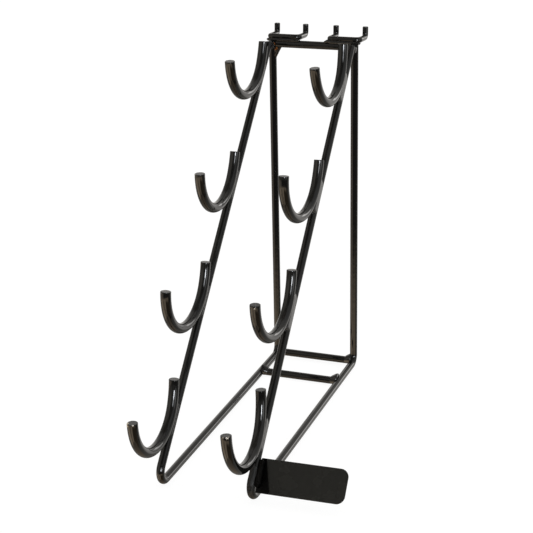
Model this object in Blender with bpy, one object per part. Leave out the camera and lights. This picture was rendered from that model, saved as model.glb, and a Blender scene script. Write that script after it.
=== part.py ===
"""Eight-hook wall rack of welded steel rod that hangs on a pegboard.

Frame: +X is right for a person facing the rack, -Y points out of the wall, +Z is up.
The origin lies on the pegboard's front face, midway between the two side frames, at the
height of the pegboard holes that the wire clips go through. Lengths are in metres.

Each side frame is one bent rod: an inclined leg in front, a bottom leg and an upright
behind. "Station" means the distance along the inclined leg, measured from the sharp
corner where its axis would meet the bottom leg's axis.
"""
import math

import bmesh
import bpy
from mathutils import Matrix, Vector

# ---- driving dimensions --------------------------------------------------------------
INCH = 0.0254
FRAME_ROD_R = INCH / 8             # frame and cross rods: 1/4 in round bar
HOOK_ROD_R = INCH * 5 / 32         # hooks: 5/16 in round bar
CLIP_WIRE_R = INCH * 3 / 32        # peg clips: 3/16 in wire
PEG_PITCH = INCH                   # hole spacing of the pegboard
GAP = 0.0003                       # clearance that stands for each welded contact

FRAME_SPACING = 0.0715             # between the planes of the two side frames
FRAME_HEIGHT = 0.2815              # bottom leg's axis to the top bar's axis
FRAME_DEPTH = 0.2676               # upright's axis to the sharp front corner
INCLINE_SETBACK = 0.0115           # inclined leg's axis ahead of the upright, at the top bar
INCLINE_OVERRUN = 0.0025           # inclined leg runs on past the top bar's axis
FRONT_BEND_R = 0.0085
REAR_BEND_R = 0.0080
REAR_CROSS_INSET = 0.0015          # rear cross rod: in from the sharp rear corner, both ways
FRONT_CROSS_AHEAD = 0.0438         # front cross rod ahead of the upright's axis
WELD_LIFT = 0.0017                 # cross rod welds sit high, so that the legs rest flat

HOOK_BEND_R = 0.0358
HOOK_BACK_STRAIGHT = 0.0117
# The hooks are bent and welded by hand, so each differs a little. From the lowest up:
HOOK_STATIONS = {"left": (0.0541, 0.1500, 0.2500, 0.3500), "right": (0.0528, 0.1511, 0.2477, 0.3480)}
HOOK_FRONT_DEG = {"left": (91, 93, 88, 86), "right": (95, 91, 91, 92)}   # arc ahead of the lowest point
HOOK_BACK_DEG = {"left": (76, 79, 71, 71.5), "right": (81, 76, 78, 70)}    # arc behind it
HOOK_LEAN_DEG = {"left": (-0.5, -4, -2, 0), "right": (-1, -1, -8, 6)}    # about X
HOOK_TURN_DEG = {"left": (-0.5, 0.5, -0.5, 0.5), "right": (-1.5, 1.5, 2.5, 0)}   # about Z
HOOK_ROLL_DEG = {"left": (-0.5, 1, 1, 1), "right": (-3, -0.5, 0, -2)}    # about Y
# Inboard of the leg's centre plane:
HOOK_INSET = {"left": (0.0003, 0.0006, 0.0006, 0.0012), "right": (0.0005, 0.0007, 0.0004, 0.0005)}

CLIP_CENTRE_X = {"left": -0.0256, "right": 0.0266}
CLIP_REACH = 0.0188                # base wire's axis to the prongs' axis
CLIP_BEND_R = 0.0033
PRONG_RISE = 0.0089                # leg's axis to the prong's cut end
CLIP_DROOP = math.radians(3)       # the legs fall a little towards the board

PLATE_RIGHT_X = 0.1053
PLATE_LOW_STATION = 0.0110
PLATE_HIGH_STATION = 0.0368
PLATE_THICKNESS = 0.0012
PLATE_CORNER_R = 0.0062
PLATE_FACE_BEHIND = 0.0010         # plate's front face behind the inclined leg's axis
PLATE_TURN = math.radians(1.2)     # outer end of the plate sits a little high

ROD_SIDES = 12
WIRE_SIDES = 10
BEAD_SIDES = 8
BEND_STEP = math.radians(10)
BEAD_STEP = math.radians(30)

# ---- places worked out from them -----------------------------------------------------
SIDES = {"left": -1, "right": 1}
UPRIGHT_Y = -FRAME_ROD_R
TOP_Z = -(CLIP_WIRE_R + GAP + FRAME_ROD_R)
BOTTOM_Z = TOP_Z - FRAME_HEIGHT
FRONT_CORNER = Vector((0, UPRIGHT_Y - FRAME_DEPTH, BOTTOM_Z))
LEG_TOP = Vector((0, UPRIGHT_Y - INCLINE_SETBACK, TOP_Z))
LEG_AXIS = (LEG_TOP - FRONT_CORNER).normalized()
LEG_LENGTH = (LEG_TOP - FRONT_CORNER).length + INCLINE_OVERRUN
LEG_NORMAL = Vector((0, -LEG_AXIS.z, LEG_AXIS.y))      # up and away from the wall
CROSS_HALF = FRAME_SPACING / 2 - FRAME_ROD_R - GAP


def side_x(side):
    """X of a side frame's centre plane."""
    return SIDES[side] * FRAME_SPACING / 2


def on_leg(station, above=0.0):
    """Point at a station of the inclined leg, raised from its axis, in the plane x = 0."""
    return FRONT_CORNER + LEG_AXIS * station + LEG_NORMAL * above


# ---- materials -----------------------------------------------------------------------
def painted_steel(name, grey, roughness):
    mat = bpy.data.materials.new(name)
    mat.use_nodes = True
    shader = mat.node_tree.nodes["Principled BSDF"]
    shader.inputs["Base Color"].default_value = (grey, grey, grey, 1)
    shader.inputs["Roughness"].default_value = roughness
    shader.inputs["Metallic"].default_value = 0.0
    mat.diffuse_color = (grey, grey, grey, 1)
    return mat


# ---- mesh helpers --------------------------------------------------------------------
def add_object(name, bm, mat):
    bmesh.ops.recalc_face_normals(bm, faces=bm.faces)
    mesh = bpy.data.meshes.new(name)
    bm.to_mesh(mesh)
    bm.free()
    mesh.shade_smooth()
    mesh.set_sharp_from_angle(angle=math.radians(40))
    if mat:
        mesh.materials.append(mat)
    obj = bpy.data.objects.new(name, mesh)
    bpy.context.scene.collection.objects.link(obj)
    return obj


def rounded_path(corners, radii, step=BEND_STEP):
    """Corner points joined by straight runs, each inner corner replaced by an arc."""
    points = [corners[0]]
    for before, corner, after, radius in zip(corners, corners[1:], corners[2:], radii):
        back = (before - corner).normalized()
        ahead = (after - corner).normalized()
        half = back.angle(ahead) / 2
        centre = corner + (back + ahead).normalized() * radius / math.sin(half)
        start = corner + back * radius / math.tan(half) - centre
        axis = start.cross(corner - centre).normalized()
        sweep = math.pi - 2 * half
        steps = max(3, round(sweep / step))
        for i in range(steps + 1):
            points.append(centre + Matrix.Rotation(sweep * i / steps, 3, axis) @ start)
    points.append(corners[-1])
    return points


def sweep_rod(bm, points, radius, sides, grow=0.0):
    """Close a round rod around a path. radius is one number, or a number for each point."""
    count = len(points)
    radii = radius if isinstance(radius, (list, tuple)) else [radius] * count
    steps = [(b - a).normalized() for a, b in zip(points, points[1:])]
    tangents = [steps[0]]
    tangents += [(a + b).normalized() for a, b in zip(steps, steps[1:])]
    tangents.append(steps[-1])
    across = Vector((1, 0, 0)) if abs(tangents[0].x) < 0.9 else Vector((0, 0, 1))
    across = (across - tangents[0] * across.dot(tangents[0])).normalized()
    rings = []
    for i, (point, tangent) in enumerate(zip(points, tangents)):
        if i:
            across = tangents[i - 1].rotation_difference(tangent) @ across
        other = tangent.cross(across)
        ring = []
        for k in range(sides):
            angle = math.tau * k / sides
            spoke = across * math.cos(angle) + other * math.sin(angle)
            ring.append(bm.verts.new(point + spoke * (radii[i] + grow)))
        rings.append(ring)
    for low, high in zip(rings, rings[1:]):
        for k in range(sides):
            n = (k + 1) % sides
            bm.faces.new((low[k], low[n], high[n], high[k]))
    bm.faces.new(rings[0][::-1])
    bm.faces.new(rings[-1])


def rod(name, points, radius, sides, mat):
    bm = bmesh.new()
    sweep_rod(bm, points, radius, sides)
    return add_object(name, bm, mat)


def cutter(name, points, radius, sides):
    """Hidden rod, larger than the real one by the gap, that welds are cut back from."""
    bm = bmesh.new()
    sweep_rod(bm, points, radius, sides, grow=GAP)
    return hide(add_object(name, bm, None))


def hide(obj):
    obj.hide_render = True
    obj.display_type = "WIRE"
    return obj


def cut(obj, cutters):
    for tool in cutters:
        mod = obj.modifiers.new("clear_" + tool.name, "BOOLEAN")
        mod.operation = "DIFFERENCE"
        mod.solver = "EXACT"
        mod.object = tool


def bead(bm, points, radius, sides=BEAD_SIDES):
    """Weld bead along a path, at its full radius except for its two blunt ends."""
    last = len(points) - 1
    radii = [radius * (1 - 0.5 * abs(2 * i / last - 1) ** 8) for i in range(last + 1)]
    sweep_rod(bm, points, radii, sides)


def straight_path(start, end, steps=8):
    return [start.lerp(end, i / steps) for i in range(steps + 1)]


def blob(bm, centre, size, rings=6):
    """Rounded lump of weld metal with the given half sizes along X, Y and Z."""
    place = Matrix.Translation(centre) @ Matrix.Diagonal((*size, 1))
    bmesh.ops.create_uvsphere(bm, u_segments=10, v_segments=rings, radius=1, matrix=place)


# ---- paths of the rods ---------------------------------------------------------------
def side_frame_path(side):
    x = Vector((side_x(side), 0, 0))
    corners = [
        on_leg(LEG_LENGTH) + x,
        FRONT_CORNER + x,
        Vector((0, UPRIGHT_Y, BOTTOM_Z)) + x,
        Vector((0, UPRIGHT_Y, TOP_Z + FRAME_ROD_R)) + x,
    ]
    return rounded_path(corners, (FRONT_BEND_R, REAR_BEND_R))


def cross_path(y, z):
    return [Vector((-CROSS_HALF, y, z)), Vector((CROSS_HALF, y, z))]


def hook_path(side, level):
    """A J: front arc, back arc and a straight back leg, tangent to the inclined leg."""
    lean = math.radians(HOOK_LEAN_DEG[side][level])
    turn = math.radians(HOOK_TURN_DEG[side][level])
    roll = math.radians(HOOK_ROLL_DEG[side][level])
    clear = HOOK_BEND_R + HOOK_ROD_R + GAP + FRAME_ROD_R
    centre = on_leg(HOOK_STATIONS[side][level], clear)
    first = lean - math.radians(HOOK_FRONT_DEG[side][level])
    last = lean + math.radians(HOOK_BACK_DEG[side][level])
    steps = round((last - first) / BEND_STEP)
    points = []
    for i in range(steps + 1):
        angle = first + (last - first) * i / steps
        points.append(centre + HOOK_BEND_R * Vector((0, math.sin(angle), -math.cos(angle))))
    along = Vector((0, math.cos(last), math.sin(last)))
    points.append(points[-1] + HOOK_BACK_STRAIGHT * along)
    contact = centre - LEG_NORMAL * HOOK_BEND_R
    spin = Matrix.Rotation(roll, 3, "Y") @ Matrix.Rotation(-turn, 3, "Z")
    x = Vector((side_x(side) - SIDES[side] * HOOK_INSET[side][level], 0, 0))
    return [contact + spin @ (p - contact) + x for p in points]


def clip_path(side):
    """A U lying on the top bar, whose two legs go back and turn up as prongs."""
    half = PEG_PITCH / 2
    base = Vector((CLIP_CENTRE_X[side], UPRIGHT_Y, 0))
    flat = [
        Vector((-half, CLIP_REACH, PRONG_RISE)),
        Vector((-half, CLIP_REACH, 0)),
        Vector((-half, 0, 0)),
        Vector((half, 0, 0)),
        Vector((half, CLIP_REACH, 0)),
        Vector((half, CLIP_REACH, PRONG_RISE)),
    ]
    droop = Matrix.Rotation(-CLIP_DROOP, 3, "X")
    return rounded_path([base + droop @ p for p in flat], [CLIP_BEND_R] * 4)


# ---- sub-parts -----------------------------------------------------------------------
def add_frame(mat):
    """Side frames, top bar and cross rods, and a hidden cutter for each."""
    tools = {}
    for side in SIDES:
        path = side_frame_path(side)
        rod(side + "_side_frame", path, FRAME_ROD_R, ROD_SIDES, mat)
        tools[side + "_frame"] = cutter(side + "_frame_cutter", path, FRAME_ROD_R, ROD_SIDES)
    rear = REAR_CROSS_INSET
    bars = {
        "top_bar": cross_path(UPRIGHT_Y, TOP_Z),
        "rear_cross_rod": cross_path(UPRIGHT_Y - rear, BOTTOM_Z + rear),
        "front_cross_rod": cross_path(UPRIGHT_Y - FRONT_CROSS_AHEAD, BOTTOM_Z),
    }
    for name, path in bars.items():
        rod(name, path, FRAME_ROD_R, ROD_SIDES, mat)
        tools[name] = cutter(name + "_cutter", path, FRAME_ROD_R, ROD_SIDES)
    return tools


def add_hooks(mat, weld_mat, tools):
    """Eight hooks. Each weld fills both grooves beside the contact and the crotch below it."""
    for side in SIDES:
        across = Vector((0.0027, 0, 0))
        for level, station in enumerate(HOOK_STATIONS[side]):
            name = "%s_hook_%d" % (side, level + 1)
            inset = Vector((side_x(side) - SIDES[side] * HOOK_INSET[side][level] / 2, 0, 0))
            path = hook_path(side, level)
            rod(name, path, HOOK_ROD_R, ROD_SIDES, mat)
            tool = cutter(name + "_cutter", path, HOOK_ROD_R, ROD_SIDES)
            low = on_leg(station - 0.0125, FRAME_ROD_R + 0.0009) + inset
            high = on_leg(station + 0.0125, FRAME_ROD_R + 0.0005) + inset
            corners = [high - across, low - across, low + across, high + across]
            bm = bmesh.new()
            bead(bm, rounded_path(corners, (0.0024, 0.0024), BEAD_STEP), 0.0018)
            cut(add_object(name + "_weld", bm, weld_mat), (tool, tools[side + "_frame"]))


def add_clips(mat, tools):
    for side in SIDES:
        path = clip_path(side)
        rod(side + "_peg_clip", path, CLIP_WIRE_R, WIRE_SIDES, mat)
        tools[side + "_clip"] = cutter(side + "_clip_cutter", path, CLIP_WIRE_R, WIRE_SIDES)


def plate_solid(name, mat, grow=0.0):
    """Flat sheet in the plane of the inclined leg, outboard of the right-hand one.

    It is drawn with its upper left corner at the mesh's origin, face up.
    """
    left = side_x("right") + FRAME_ROD_R + GAP
    width = PLATE_RIGHT_X - left
    height = PLATE_HIGH_STATION - PLATE_LOW_STATION
    radius = PLATE_CORNER_R
    arc_steps = 5
    outline = [(-grow, -height - grow)]
    for centre_y, start in ((radius - height, -90), (-radius, 0)):
        for i in range(arc_steps + 1):
            angle = math.radians(start + 90 * i / arc_steps)
            outline.append((width - radius + (radius + grow) * math.cos(angle),
                            centre_y + (radius + grow) * math.sin(angle)))
    outline.append((-grow, grow))
    bm = bmesh.new()
    face = bm.faces.new([bm.verts.new((x, y, -grow)) for x, y in outline])
    walls = bmesh.ops.extrude_face_region(bm, geom=[face])["geom"]
    front = [v for v in walls if isinstance(v, bmesh.types.BMVert)]
    bmesh.ops.translate(bm, verts=front, vec=(0, 0, PLATE_THICKNESS + 2 * grow))
    plate = add_object(name, bm, mat)
    behind = -PLATE_FACE_BEHIND - PLATE_THICKNESS
    corner = on_leg(PLATE_HIGH_STATION, behind) + Vector((left, 0, 0))
    axes = Matrix((Vector((1, 0, 0)), LEG_AXIS, LEG_NORMAL)).transposed()
    turned = axes.to_4x4() @ Matrix.Rotation(PLATE_TURN, 4, "Z")
    plate.matrix_world = Matrix.Translation(corner) @ turned
    return plate


def add_frame_welds(mat, tools):
    """Fillets around the ends of the bars, and the joint at the head of each side frame."""
    for side, sign in SIDES.items():
        out = Vector((sign, 0, 0))
        frame_tool = tools[side + "_frame"]
        leg_x = side_x(side)
        for bar, y, z in (
            ("rear_cross_rod", UPRIGHT_Y - REAR_CROSS_INSET, BOTTOM_Z + REAR_CROSS_INSET),
            ("front_cross_rod", UPRIGHT_Y - FRONT_CROSS_AHEAD, BOTTOM_Z),
        ):
            bm = bmesh.new()
            end = Vector((leg_x, y, z + WELD_LIFT)) - out * 0.0012
            inner = end - out * 0.0062
            points = [end.lerp(inner, t) for t in (0, 0.35, 0.7, 1)]
            radii = [FRAME_ROD_R + swell for swell in (0.0017, 0.0016, 0.0009, 0.0004)]
            sweep_rod(bm, points, radii, ROD_SIDES)
            cut(add_object("%s_%s_weld" % (side, bar), bm, mat), (frame_tool, tools[bar]))

        bm = bmesh.new()
        add_gusset(bm, side)
        cut(add_object(side + "_top_corner_weld", bm, mat), (frame_tool, tools["top_bar"]))

        bm = bmesh.new()
        centre = Vector((leg_x, UPRIGHT_Y - 0.0058, TOP_Z - 0.0008))
        blob(bm, centre, (0.0032, 0.0040, 0.0040))
        head_tools = (frame_tool, tools["top_bar"], tools[side + "_clip"])
        cut(add_object(side + "_head_weld", bm, mat), head_tools)


def add_gusset(bm, side):
    """Fillet below the top bar, against the inner face of an upright."""
    inward = -SIDES[side]
    inner_x = side_x(side) + inward * 0.0015
    top = TOP_Z - 0.0015
    thickness = 0.0046
    profile = ((0, 0), (0.0062, 0), (0.0057, -0.0024), (0.0024, -0.0096), (0, -0.0110))
    loops = []
    for y in (-thickness / 2, thickness / 2):
        ring = [bm.verts.new((inner_x + inward * px, UPRIGHT_Y + y, top + pz)) for px, pz in profile]
        loops.append(ring)
    bm.faces.new(loops[0])
    bm.faces.new(loops[1][::-1])
    count = len(profile)
    for k in range(count):
        n = (k + 1) % count
        bm.faces.new((loops[0][k], loops[1][k], loops[1][n], loops[0][n]))
    slope = [e for e in bm.edges if abs(e.verts[0].co.y - e.verts[1].co.y) < 1e-6]
    slope = [e for e in slope if min(inward * (v.co.x - inner_x) for v in e.verts) > 0.002]
    bmesh.ops.bevel(bm, geom=slope, offset=0.0012, segments=2, affect="EDGES")


def add_clip_welds(mat, tools):
    """Beads in the front and rear grooves between a clip's base wire and the top bar."""
    groove_z = TOP_Z + FRAME_ROD_R + 0.0004
    for side in SIDES:
        end_tools = (tools[side + "_clip"], tools["top_bar"], tools[side + "_frame"])
        for place, reach, y in (
            ("front", PEG_PITCH / 2 + 0.0020, UPRIGHT_Y - 0.0019),
            ("rear", PEG_PITCH / 2 - 0.0050, UPRIGHT_Y + 0.0021),
        ):
            start = Vector((CLIP_CENTRE_X[side] - reach, y, groove_z))
            end = Vector((CLIP_CENTRE_X[side] + reach, y, groove_z))
            bm = bmesh.new()
            bead(bm, straight_path(start, end), 0.0015)
            cut(add_object("%s_clip_%s_weld" % (side, place), bm, mat), end_tools)


def add_plate_weld(mat, tools):
    """One fillet between the plate's front face and the side of the inclined leg."""
    bm = bmesh.new()
    x = Vector((side_x("right") + FRAME_ROD_R + 0.0014, 0, 0))
    low = on_leg(PLATE_LOW_STATION + 0.0070, 0.0004) + x
    high = on_leg(PLATE_HIGH_STATION - 0.0010, 0.0004) + x
    bead(bm, straight_path(low, high), 0.0021)
    weld = add_object("sign_plate_weld", bm, mat)
    cut(weld, (tools["right_frame"], hide(plate_solid("plate_cutter", None, GAP))))


def main():
    for obj in list(bpy.data.objects):
        bpy.data.objects.remove(obj)
    frame_mat = painted_steel("frame_paint", 0.012, 0.22)
    hook_mat = painted_steel("hook_paint", 0.012, 0.20)
    clip_mat = painted_steel("clip_paint", 0.014, 0.26)
    plate_mat = painted_steel("plate_paint", 0.017, 0.30)
    weld_mat = painted_steel("weld_paint", 0.016, 0.34)
    tools = add_frame(frame_mat)
    add_hooks(hook_mat, weld_mat, tools)
    add_clips(clip_mat, tools)
    add_frame_welds(weld_mat, tools)
    add_clip_welds(weld_mat, tools)
    plate_solid("sign_plate", plate_mat)
    add_plate_weld(weld_mat, tools)


main()
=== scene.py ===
"""Visual model of the eight-hook pegboard rack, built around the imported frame.

Lengths are metres in the row frame: +X right for a person facing the rack, -Y out from
the pegboard, +Z up, origin on the pegboard's face at the height of the clip legs.
"Station" is the distance along an inclined leg from the sharp front bottom corner.
"""
import math
from collections import namedtuple

import bmesh
import bpy
from mathutils import Matrix, Vector, noise


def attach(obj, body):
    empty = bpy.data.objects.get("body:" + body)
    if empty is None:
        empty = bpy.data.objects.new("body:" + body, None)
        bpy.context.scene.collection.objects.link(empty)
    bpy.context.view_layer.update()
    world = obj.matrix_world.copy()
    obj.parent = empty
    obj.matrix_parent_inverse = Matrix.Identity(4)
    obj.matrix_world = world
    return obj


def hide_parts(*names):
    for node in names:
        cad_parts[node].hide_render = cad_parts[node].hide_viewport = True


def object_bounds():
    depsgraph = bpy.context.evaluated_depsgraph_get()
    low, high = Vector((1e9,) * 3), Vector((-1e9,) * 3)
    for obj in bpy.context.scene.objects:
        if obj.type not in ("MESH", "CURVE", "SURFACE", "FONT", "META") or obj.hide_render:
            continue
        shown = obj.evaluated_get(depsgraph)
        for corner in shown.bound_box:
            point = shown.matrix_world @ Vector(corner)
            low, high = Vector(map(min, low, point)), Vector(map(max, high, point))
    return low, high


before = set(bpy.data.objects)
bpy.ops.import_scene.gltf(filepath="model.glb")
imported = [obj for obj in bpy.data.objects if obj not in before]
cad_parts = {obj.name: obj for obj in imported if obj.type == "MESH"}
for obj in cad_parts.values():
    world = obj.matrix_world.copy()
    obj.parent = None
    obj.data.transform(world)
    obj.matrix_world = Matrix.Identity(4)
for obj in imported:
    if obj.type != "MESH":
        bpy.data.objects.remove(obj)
cad_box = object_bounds()

BODY = "root"

# ---- the part's own dimensions, as in the CAD ------------------------------------------
INCH = 0.0254
FRAME_ROD_R = INCH / 8
HOOK_ROD_R = INCH * 5 / 32
CLIP_WIRE_R = INCH * 3 / 32
PEG_PITCH = INCH
GAP = 0.0003
FRAME_SPACING = 0.0715
FRAME_HEIGHT = 0.2815
FRAME_DEPTH = 0.2676
INCLINE_SETBACK = 0.0115
INCLINE_OVERRUN = 0.0025
FRONT_BEND_R = 0.0085
REAR_BEND_R = 0.0080
REAR_CROSS_INSET = 0.0015
FRONT_CROSS_AHEAD = 0.0438

HOOK_BEND_R = 0.0358
HOOK_BACK_STRAIGHT = 0.0117
# The hooks are bent and welded by hand, so each differs a little. From the lowest up:
HOOK_STATIONS = {"left": (0.0541, 0.1500, 0.2500, 0.3500), "right": (0.0528, 0.1511, 0.2477, 0.3480)}
HOOK_FRONT_DEG = {"left": (91, 93, 88, 86), "right": (95, 91, 91, 92)}   # arc ahead of the lowest point
HOOK_BACK_DEG = {"left": (76, 79, 71, 71.5), "right": (81, 76, 78, 70)}  # arc behind it
HOOK_LEAN_DEG = {"left": (-0.5, -4, -2, 0), "right": (-1, -1, -8, 6)}    # about X
HOOK_TURN_DEG = {"left": (-0.5, 0.5, -0.5, 0.5), "right": (-1.5, 1.5, 2.5, 0)}   # about Z
HOOK_ROLL_DEG = {"left": (-0.5, 1, 1, 1), "right": (-3, -0.5, 0, -2)}    # about Y
# Inboard of the leg's centre plane:
HOOK_INSET = {"left": (0.0003, 0.0006, 0.0006, 0.0012), "right": (0.0005, 0.0007, 0.0004, 0.0005)}

CLIP_CENTRE_X = {"left": -0.0256, "right": 0.0266}
CLIP_REACH = 0.0188
CLIP_BEND_R = 0.0033
PRONG_RISE = 0.0089
CLIP_DROOP = math.radians(3)

PLATE_RIGHT_X = 0.1053
PLATE_LOW_STATION = 0.0110
PLATE_HIGH_STATION = 0.0368
PLATE_THICKNESS = 0.0012
PLATE_CORNER_R = 0.0062
PLATE_FACE_BEHIND = 0.0010
PLATE_TURN = math.radians(1.2)

SIDES = {"left": -1, "right": 1}
OUTWARD = Vector((0, -1, 0))       # away from the wall
LEVELS = range(4)
UPRIGHT_Y = -FRAME_ROD_R
TOP_Z = -(CLIP_WIRE_R + GAP + FRAME_ROD_R)
BOTTOM_Z = TOP_Z - FRAME_HEIGHT
FRONT_CORNER = Vector((0, UPRIGHT_Y - FRAME_DEPTH, BOTTOM_Z))
LEG_TOP = Vector((0, UPRIGHT_Y - INCLINE_SETBACK, TOP_Z))
LEG_AXIS = (LEG_TOP - FRONT_CORNER).normalized()
LEG_LENGTH = (LEG_TOP - FRONT_CORNER).length + INCLINE_OVERRUN
LEG_NORMAL = Vector((0, -LEG_AXIS.z, LEG_AXIS.y))
CROSS_HALF = FRAME_SPACING / 2 - FRAME_ROD_R - GAP
CROSS_ROD_AT = {                   # y and z of their axes
    "rear_cross_rod": (UPRIGHT_Y - REAR_CROSS_INSET, BOTTOM_Z + REAR_CROSS_INSET),
    "front_cross_rod": (UPRIGHT_Y - FRONT_CROSS_AHEAD, BOTTOM_Z),
}


def side_x(side):
    return SIDES[side] * FRAME_SPACING / 2


def on_leg(station, above=0.0):
    return FRONT_CORNER + LEG_AXIS * station + LEG_NORMAL * above


PLATE_LEFT_X = side_x("right") + FRAME_ROD_R + GAP

# ---- paths -------------------------------------------------------------------------------
BEND_STEP = math.radians(4)
MIN_BEND_STEPS = 4
STRAIGHT_STEP = 0.006
BACK_EASE = math.radians(4)        # the bend of a hook fades out into its straight back leg
BACK_EASE_STEPS = 8


def straight_run(start, end):
    """Points after start, up to and with end, close enough together for fine surface detail."""
    steps = max(1, round((end - start).length / STRAIGHT_STEP))
    return [start.lerp(end, i / steps) for i in range(1, steps + 1)]


def eased(start, knee, end, steps):
    """Points from start to end on a curve that sets out towards knee and arrives from it."""
    shares = (i / steps for i in range(steps + 1))
    return [start.lerp(knee, t).lerp(knee.lerp(end, t), t) for t in shares]


def rounded_path(corners, radii):
    """Corner points joined by straight runs, each inner corner replaced by an arc."""
    points = [corners[0]]
    for before, corner, after, radius in zip(corners, corners[1:], corners[2:], radii):
        back = (before - corner).normalized()
        ahead = (after - corner).normalized()
        half = back.angle(ahead) / 2
        centre = corner + (back + ahead).normalized() * radius / math.sin(half)
        start = corner + back * radius / math.tan(half)
        points += straight_run(points[-1], start)
        axis = (start - centre).cross(corner - centre).normalized()
        sweep = math.pi - 2 * half
        steps = max(MIN_BEND_STEPS, round(sweep / BEND_STEP))
        for i in range(1, steps + 1):
            turn = Matrix.Rotation(sweep * i / steps, 3, axis)
            points.append(centre + turn @ (start - centre))
    return points + straight_run(points[-1], corners[-1])


def side_frame_path(side):
    x = Vector((side_x(side), 0, 0))
    corners = [
        on_leg(LEG_LENGTH) + x,
        FRONT_CORNER + x,
        Vector((0, UPRIGHT_Y, BOTTOM_Z)) + x,
        Vector((0, UPRIGHT_Y, TOP_Z + FRAME_ROD_R)) + x,
    ]
    return rounded_path(corners, (FRONT_BEND_R, REAR_BEND_R))


def cross_path(y, z):
    return rounded_path([Vector((-CROSS_HALF, y, z)), Vector((CROSS_HALF, y, z))], ())


def hook_path(side, level):
    """A hook's axis, from its front tip round the bend to its back tip."""
    lean = math.radians(HOOK_LEAN_DEG[side][level])
    turn = math.radians(HOOK_TURN_DEG[side][level])
    roll = math.radians(HOOK_ROLL_DEG[side][level])
    centre = on_leg(HOOK_STATIONS[side][level], HOOK_BEND_R + HOOK_ROD_R + GAP + FRAME_ROD_R)
    first = lean - math.radians(HOOK_FRONT_DEG[side][level])
    last = lean + math.radians(HOOK_BACK_DEG[side][level])
    steps = round((last - first) / BEND_STEP)
    points = []
    for i in range(steps + 1):
        angle = first + (last - first) * i / steps
        points.append(centre + HOOK_BEND_R * Vector((0, math.sin(angle), -math.cos(angle))))
    along = Vector((0, math.cos(last), math.sin(last)))
    tip = points[-1] + HOOK_BACK_STRAIGHT * along
    while (points[-1] - tip).length < HOOK_BACK_STRAIGHT + HOOK_BEND_R * BACK_EASE:
        points.pop()
    start = points[-1]
    tangent = (start - points[-2]).normalized()
    knee = start + tangent * (tip - start).length / 2
    points += eased(start, knee, tip, BACK_EASE_STEPS)[1:]
    contact = centre - LEG_NORMAL * HOOK_BEND_R
    spin = Matrix.Rotation(roll, 3, "Y") @ Matrix.Rotation(-turn, 3, "Z")
    x = Vector((side_x(side) - SIDES[side] * HOOK_INSET[side][level], 0, 0))
    return [contact + spin @ (p - contact) + x for p in points]


def clip_path(side):
    half = PEG_PITCH / 2
    base = Vector((CLIP_CENTRE_X[side], UPRIGHT_Y, 0))
    flat = [
        Vector((-half, CLIP_REACH, PRONG_RISE)),
        Vector((-half, CLIP_REACH, 0)),
        Vector((-half, 0, 0)),
        Vector((half, 0, 0)),
        Vector((half, CLIP_REACH, 0)),
        Vector((half, CLIP_REACH, PRONG_RISE)),
    ]
    droop = Matrix.Rotation(-CLIP_DROOP, 3, "X")
    return rounded_path([base + droop @ p for p in flat], [CLIP_BEND_R] * 4)


# ---- meshes: what they share ---------------------------------------------------------------
# A place on a path, the path's direction there, and two directions across it:
Section = namedtuple("Section", "point along across other")


def add_piece(name, bm, mat, node):
    """A closed mesh that rides on the rack and stands for the CAD node named."""
    bmesh.ops.recalc_face_normals(bm, faces=bm.faces)
    mesh = bpy.data.meshes.new(name)
    bm.to_mesh(mesh)
    bm.free()
    mesh.shade_smooth()
    mesh.materials.append(mat)
    obj = bpy.data.objects.new(name, mesh)
    bpy.context.scene.collection.objects.link(obj)
    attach(obj, BODY)
    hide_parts(node)


def tangents_of(points):
    steps = [(b - a).normalized() for a, b in zip(points, points[1:])]
    middle = [(a + b).normalized() for a, b in zip(steps, steps[1:])]
    return [steps[0], *middle, steps[-1]]


def sections_of(points):
    """A section at each point of a path, carried along it without twist."""
    tangents = tangents_of(points)
    runs_sideways = abs(tangents[0].x) > 0.9
    across = Vector((0, 0, 1)) if runs_sideways else Vector((1, 0, 0))
    across = (across - tangents[0] * across.dot(tangents[0])).normalized()
    sections = []
    for i, (point, tangent) in enumerate(zip(points, tangents)):
        if i:
            across = tangents[i - 1].rotation_difference(tangent) @ across
        sections.append(Section(point, tangent, across, tangent.cross(across)))
    return sections


def spoke_at(section, angle):
    return section.across * math.cos(angle) + section.other * math.sin(angle)


def angles_round(sides):
    return [math.tau * k / sides for k in range(sides)]


def join_rings(bm, rings):
    for low, high in zip(rings, rings[1:]):
        for k in range(len(low)):
            n = (k + 1) % len(low)
            bm.faces.new((low[k], low[n], high[n], high[k]))


def close_ring(bm, verts):
    """A fan of triangles over a ring, round a new vertex in its middle."""
    middle = bm.verts.new(sum((v.co for v in verts), Vector()) / len(verts))
    for k in range(len(verts)):
        bm.faces.new((verts[k], verts[(k + 1) % len(verts)], middle))
    return middle


# ---- meshes: rods --------------------------------------------------------------------------
END_EDGE_DEG = (0, 22, 45, 68, 90)     # rings round the broken edge of a sawn end
END_FACE_SHARES = (0.8, 0.55, 0.28)    # rings across its face, as shares of its radius
END_LOOPS = (0.0009, 0.0014)           # rings just behind it, which keep its shading crisp
SAW_GRAIN_SCALE = 900
SAW_GRAIN_DEPTH = 0.00004


def ring(bm, section, radius, sides):
    spokes = [spoke_at(section, angle) for angle in angles_round(sides)]
    return [bm.verts.new(section.point + spoke * radius) for spoke in spokes]


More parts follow.
